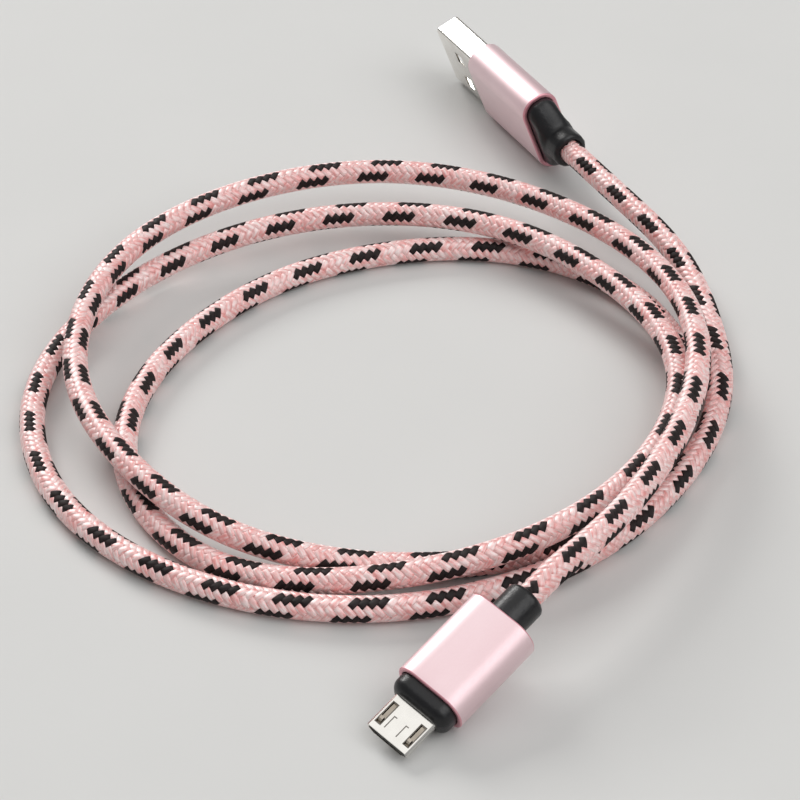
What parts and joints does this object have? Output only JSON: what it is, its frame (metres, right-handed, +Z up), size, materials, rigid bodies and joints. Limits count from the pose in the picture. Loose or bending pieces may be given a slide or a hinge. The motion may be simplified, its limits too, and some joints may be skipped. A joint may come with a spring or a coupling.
{
  "type": "charging cable",
  "caption": "Braided charging cable with a USB-A plug and a micro-USB plug in rose aluminium sleeves, lying in loose loops.",
  "frame": {"origin": "on the table, under the middle of the two plugs' common box", "axes": "+Z up from the table; +Y from the micro-USB plug towards the USB-A plug; +X to the right, so that the loops' middle lies towards -X"},
  "size_m": [0.1072, 0.1635, 0.0155],
  "materials": {
    "plated_steel": "polished nickel plate",
    "spring_steel": "plain rolled strip",
    "rose_aluminium": "satin rose anodised",
    "black_moulding": "fine satin texture",
    "white_plastic": "moulded",
    "dark_plastic": "moulded",
    "gold_contacts": "gold plated",
    "wire_insulation": "coloured insulation",
    "braid": "pink polyester braid with black dashes"
  },
  "bodies": {
    "cable": {"usb_a_shell": "plated_steel", "usb_a_insulator": "white_plastic", "usb_a_contacts": "gold_contacts", "usb_a_inner_mould": "black_moulding", "usb_a_sleeve": "rose_aluminium", "usb_a_strain_relief": "black_moulding", "usb_a_crimp": "plated_steel", "usb_a_wires": "wire_insulation", "micro_shell": "plated_steel", "micro_insulator": "dark_plastic", "micro_contacts": "gold_contacts", "micro_nose": "black_moulding", "micro_sleeve": "rose_aluminium", "micro_strain_relief": "black_moulding", "micro_crimp": "plated_steel", "micro_wires": "wire_insulation", "cord_lead_usb_a": "braid", "cord_coil": "braid", "cord_lead_micro": "braid"},
    "left_latch": {"micro_latch_left": "spring_steel"},
    "right_latch": {"micro_latch_right": "spring_steel"}
  },
  "joints": [
    {"name": "left_latch_press", "type": "hinge", "parent": "cable", "child": "left_latch", "pos_m": [-0.0127, -0.07379, 0.00425], "axis": [0.7366, -0.646, -0.2004], "range_deg": [0, 3.4], "stiffness_Nm_per_rad": 0.05, "springref_deg": -0.57},
    {"name": "right_latch_press", "type": "hinge", "parent": "cable", "child": "right_latch", "pos_m": [-0.00909, -0.07696, 0.00326], "axis": [0.7366, -0.646, -0.2004], "range_deg": [0, 3.4], "stiffness_Nm_per_rad": 0.05, "springref_deg": -0.57}
  ]
}
